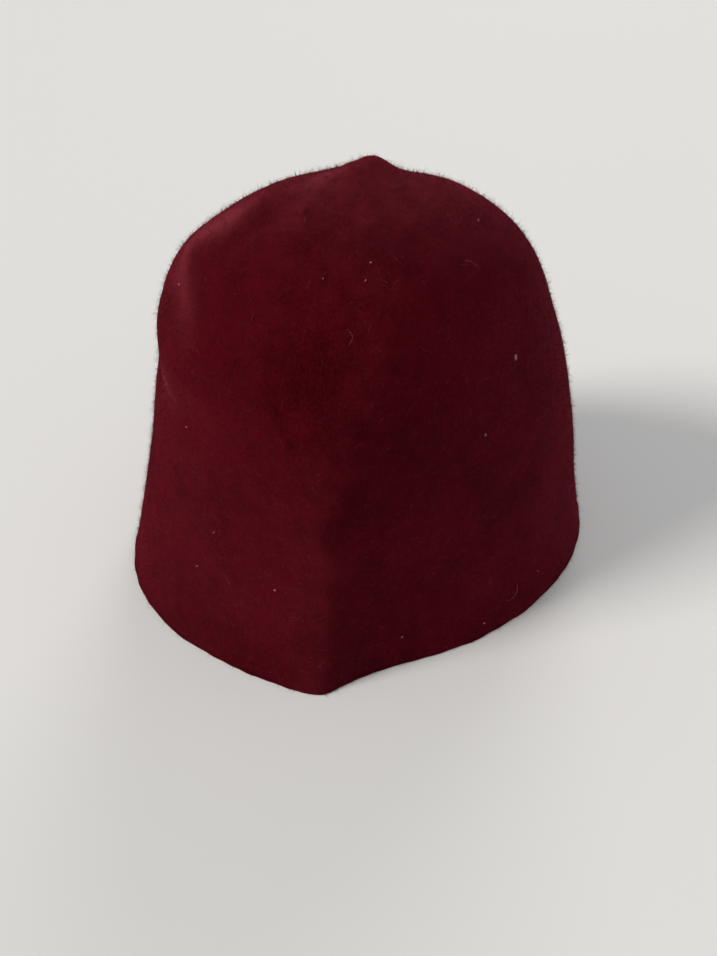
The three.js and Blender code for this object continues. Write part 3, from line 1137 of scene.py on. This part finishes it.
@dataclass
class Lint:
    """The lint that lies on the crown, each fleck a few wool fibres.

    A speck's fibres have lengths, a swing and a spread in shares of its length. They wave along the
    felt and up from it, where stand is their least height and stand_swing how far they rise.
    """

    crown: FeltCrown
    flecks: tuple[Fleck, ...] = FLECKS
    speck_step: float = 0.00024
    curl_stand: float = 0.00045
    least_fibres: int = 3
    lengths: Range = (0.6, 1.0)
    swing: float = 0.25
    waves: Range = (1.2, 2.2)
    wave_height: float = 0.6
    most_shift: float = 6.28
    spread: float = 0.12
    stand: float = 0.00025
    stand_wave: float = 2.1
    stand_swing: float = 0.00018
    points: int = 11
    sides: int = 5
    end_share: float = 0.35
    aside: Corner = (0.31, 0.52, 0.79)
    seed: int = 5
    corners: list[Corner] = field(default_factory=list)
    faces: Faces = field(default_factory=list)

    def tube(self, line: np.ndarray, radius: float) -> None:
        """Adds a closed tube along a line, thinner towards its ends.

        Args:
            line: The points that it follows.
            radius: Its radius in the middle.
        """
        start = len(self.corners)
        along = unit(np.gradient(line, axis=0))
        side = unit(np.cross(along, np.array(self.aside)))
        other = np.cross(along, side)
        last = len(line) - 1
        for index in range(1, last):
            swell = math.sin(math.pi * index / last)
            size = radius * (self.end_share + (1 - self.end_share) * swell)
            for corner in range(self.sides):
                angle = 2 * math.pi * corner / self.sides
                spoke = side[index] * math.cos(angle) + other[index] * math.sin(angle)
                self.corners.append(tuple(line[index] + size * spoke))
        self.corners.extend([tuple(line[0]), tuple(line[last])])
        first_end, last_end = len(self.corners) - 2, len(self.corners) - 1
        for ring in range(last - 1):
            for corner in range(self.sides):
                a = start + ring * self.sides + corner
                b = start + ring * self.sides + (corner + 1) % self.sides
                if ring == 0:
                    self.faces.append((first_end, b, a))
                if ring == last - 2:
                    self.faces.append((a, b, last_end))
                else:
                    self.faces.append((a, b, b + self.sides, a + self.sides))

    def add(self, fleck: Fleck, chance: np.random.Generator) -> None:
        """Adds one fleck's fibres.

        Args:
            fleck: The fleck.
            chance: Where its random shape comes from.
        """
        turn, way = np.array(fleck.turn), np.array(fleck.way)
        around, up, out = self.crown.form.directions(True, turn, way)
        centre = self.crown.form.outer(turn, way) + self.crown.shift
        tilt = math.radians(fleck.tilt)
        long_way = around * math.cos(tilt) + up * math.sin(tilt)
        wide_way = up * math.cos(tilt) - around * math.sin(tilt)
        share = np.linspace(-1.0, 1.0, self.points)
        if fleck.kind is LintKind.CURL:
            wide = fleck.bow * fleck.size * share**2
            line = centre + np.outer(0.5 * fleck.size * share, long_way) + np.outer(wide, wide_way)
            self.tube(line + self.curl_stand * out, fleck.radius)
            return
        for _ in range(max(self.least_fibres, round(fleck.size / self.speck_step))):
            length = 0.5 * fleck.size * chance.uniform(*self.lengths)
            swing = fleck.size * chance.uniform(-self.swing, self.swing)
            bow = chance.uniform(-1, 1)
            wave = chance.uniform(*self.waves)
            shift = chance.uniform(0, self.most_shift)
            wide = swing * (bow * share**2 + self.wave_height * np.sin(wave * share + shift))
            high = self.stand + self.stand_swing * (1 + np.sin(self.stand_wave * share + shift))
            spread = chance.uniform(-self.spread, self.spread) * fleck.size
            line = centre + np.outer(length * share, long_way) + np.outer(wide + spread, wide_way)
            self.tube(line + np.outer(high, out), fleck.radius)

    def build(self) -> bpy.types.Object:
        """Makes all the lint as one piece."""
        chance = np.random.default_rng(self.seed)
        for fleck in self.flecks:
            self.add(fleck, chance)
        return new_mesh("surface_lint", np.array(self.corners), self.faces)


@dataclass(frozen=True)
class SoftLight:
    """One far soft light: the way it comes from, its spread in degrees and its strength."""

    name: str
    comes_from: Corner
    spread: float
    strength: float
    colour: Colour = (1.0, 1.0, 1.0)


@dataclass
class Studio:
    """A plain pale floor, far soft lights and the camera."""

    focal_pixels: float = 718.0
    long_side: float = 956.0
    sensor: float = 36.0
    pitch: float = 43.2
    heading: float = -15.0
    camera_place: Corner = (-0.0599, -0.2182, 0.2358)
    nearest: float = 0.01
    floor_radius: float = 8.0
    floor_sides: int = 64
    floor_colour: Colour = (0.685, 0.682, 0.668)
    floor_roughness: float = 0.85
    floor_specular: float = 0.2
    air: Colour = (0.95, 0.96, 1.0)
    air_strength: float = 0.42
    lights: tuple[SoftLight, ...] = (
        SoftLight("key_light", (-1.20, 0.02, 0.84), 19.0, 2.55, (1.0, 0.96, 0.91)),
        SoftLight("front_light", (-0.1, -1.3, 1.04), 30.0, 0.40, (1.0, 0.97, 0.94)),
        SoftLight("back_light", (0.9, 1.6, 1.1), 30.0, 0.90, (1.0, 0.98, 0.96)),
    )

    def camera(self, shift: np.ndarray) -> None:
        """Makes the camera, moved as the crown was moved into its CAD box."""
        data = bpy.data.cameras.new("camera")
        data.lens = self.focal_pixels * self.sensor / self.long_side
        data.sensor_width = self.sensor
        data.clip_start = self.nearest
        made = bpy.data.objects.new("camera", data)
        made.location = Vector(self.camera_place) + Vector(shift)
        made.rotation_euler = (math.radians(90 - self.pitch), 0.0, math.radians(self.heading))
        bpy.context.scene.collection.objects.link(made)
        bpy.context.scene.camera = made

    def light(self, soft: SoftLight) -> None:
        """Makes one far light, so that it is as bright on every side of the crown."""
        data = bpy.data.lights.new(soft.name, "SUN")
        data.angle = math.radians(soft.spread)
        data.energy = soft.strength
        data.color = soft.colour
        made = bpy.data.objects.new(soft.name, data)
        made.location = soft.comes_from
        made.rotation_euler = Vector(soft.comes_from).to_track_quat("Z", "Y").to_euler()
        bpy.context.scene.collection.objects.link(made)

    def floor(self) -> None:
        """Makes the round pale floor."""
        angles = 2 * math.pi * np.arange(self.floor_sides) / self.floor_sides
        corners = np.stack([np.cos(angles), np.sin(angles), np.zeros(len(angles))], -1) * self.floor_radius
        made = new_mesh("floor", corners, [tuple(range(len(angles)))], smooth=False)
        matt, sheet = material_sheet("pale_floor")
        sheet.surface(
            {
                "Base Color": (*self.floor_colour, 1),
                "Roughness": self.floor_roughness,
                "Specular IOR Level": self.floor_specular,
            }
        )
        made.data.materials.append(matt)

    def sky(self) -> None:
        """Fills the room with even pale light."""
        world = bpy.data.worlds.new("pale_room")
        world.use_nodes = True
        ground = world.node_tree.nodes["Background"]
        ground.inputs["Color"].default_value = (*self.air, 1)
        ground.inputs["Strength"].default_value = self.air_strength
        bpy.context.scene.world = world
        bpy.context.scene.view_settings.view_transform = "Standard"

    def build(self, shift: np.ndarray) -> None:
        """Makes the whole studio."""
        self.camera(shift)
        self.floor()
        self.sky()
        for soft in self.lights:
            self.light(soft)


def settle(piece: bpy.types.Object) -> None:
    """Lets a piece ride on the fez and reports it.

    Args:
        piece: The piece.
    """
    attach(piece, BODY)
    LOG.info("%s: %d faces", piece.name, len(piece.data.polygons))


def main() -> None:
    """Builds the fez and its studio, piece by piece."""
    logging.basicConfig(level=logging.INFO, format="%(name)s: %(message)s")
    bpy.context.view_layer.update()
    fibres, cloud = FibrePattern(), WoolCloud()
    felt = FeltFinish().felt_material(fibres, cloud)
    wool = {finish.name: finish.material(cloud) for finish in (NAP_FINISH, STRAY_FINISH, LINT_FINISH)}

    crown = FeltCrown(CrownForm())
    piece = crown.build()
    tree = FibreTree()
    planted = [tree.plant(piece, kind.name, kind.inputs(wool[kind.finish.name])) for kind in PLANTINGS]
    piece.data.materials.append(felt)
    settle(piece)
    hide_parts(CROWN_NODE)
    for fibre_piece in planted:
        settle(fibre_piece)

    lint = Lint(crown).build()
    lint.data.materials.append(wool[LINT_FINISH.name])
    settle(lint)

    Studio().build(crown.shift)


if __name__ == "__main__":
    main()
